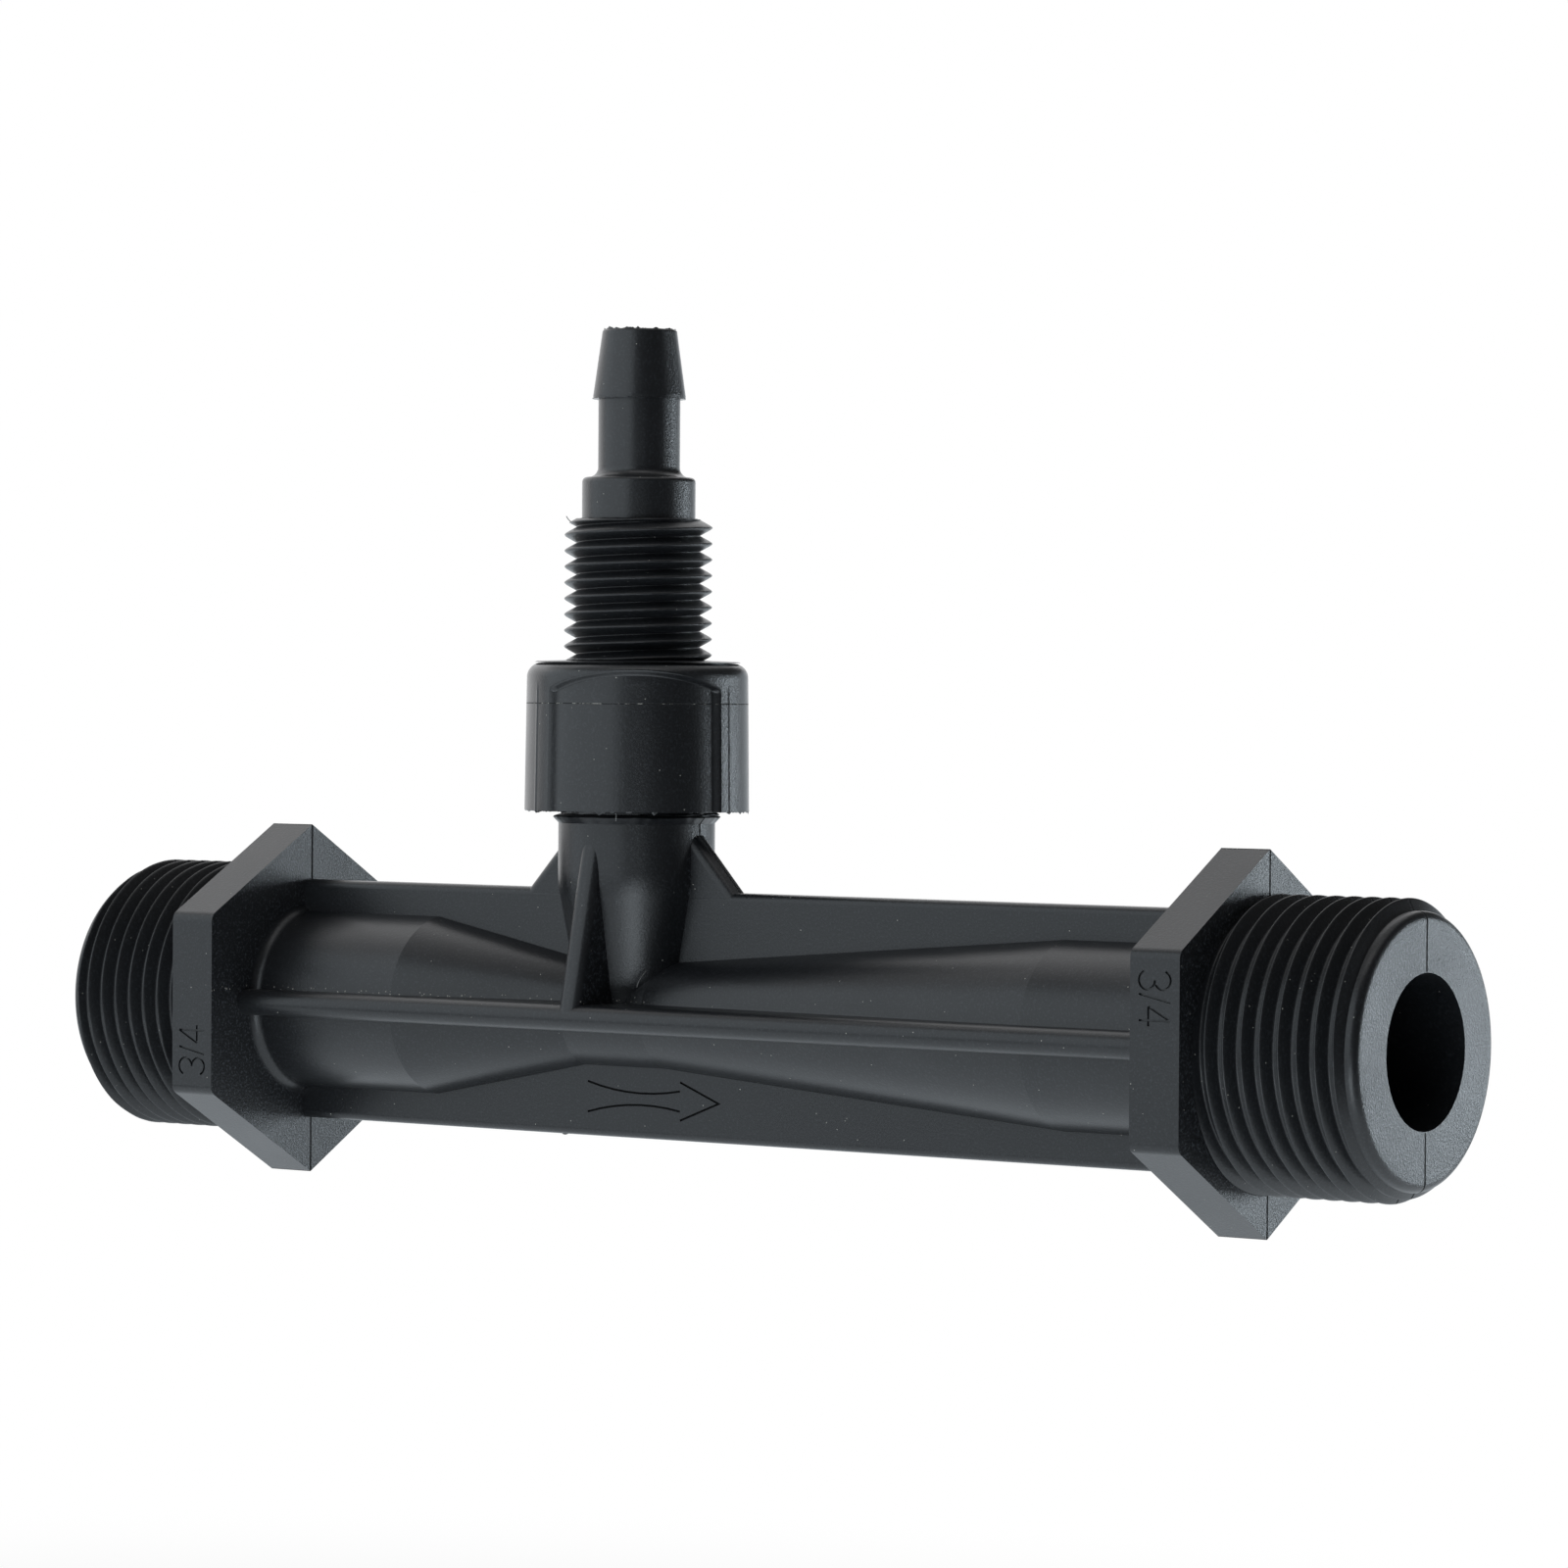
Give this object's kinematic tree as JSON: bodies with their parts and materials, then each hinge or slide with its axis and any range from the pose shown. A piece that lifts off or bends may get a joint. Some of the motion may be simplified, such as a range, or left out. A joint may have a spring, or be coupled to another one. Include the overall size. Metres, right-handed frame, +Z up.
{
  "type": "venturi fertilizer injector",
  "caption": "Black plastic venturi injector with threaded pipe ends, hex flanges, stiffening fins, flow mark, suction boss, screwed suction cap with threaded nipple and hose barb, and a sprung check ball.",
  "frame": {"origin": "centre of the inlet end face, on the axis of the flow passage", "axes": "+X along the flow, from the inlet end to the outlet end; +Z up along the suction port; the flow mark is on the side that faces -Y"},
  "size_m": [0.146, 0.0296, 0.0816],
  "materials": {
    "body_plastic": "satin black moulded polypropylene",
    "cap_plastic": "satin black moulded polypropylene",
    "ball_rubber": "smooth moulded rubber",
    "spring_steel": "drawn stainless wire",
    "seal_rubber": "matte rubber"
  },
  "bodies": {
    "body": {"injector_body": "body_plastic", "valve_spring": "spring_steel"},
    "ball": {"check_ball": "ball_rubber"},
    "seal": {"seal_ring": "seal_rubber"},
    "cap": {"suction_cap": "cap_plastic"}
  },
  "joints": [
    {"name": "ball_lift", "type": "slide", "parent": "body", "child": "ball", "axis": [0, 0, -1], "range_m": [0, 0.0025], "stiffness_N_per_m": 60, "springref_m": -0.003, "deforming": ["valve_spring"]},
    {"name": "cap_lift", "type": "slide", "parent": "body", "child": "seal", "axis": [0, 0, 1], "range_m": [0, 0.0105]},
    {"name": "cap_turn", "type": "hinge", "parent": "seal", "child": "cap", "pos_m": [0.0608, 0, 0.03], "axis": [0, 0, 1], "range_deg": [0, 2520]}
  ],
  "couplings": [
    {"joint": "cap_turn", "follows": "cap_lift", "rad_per_m": 4188.8}
  ]
}
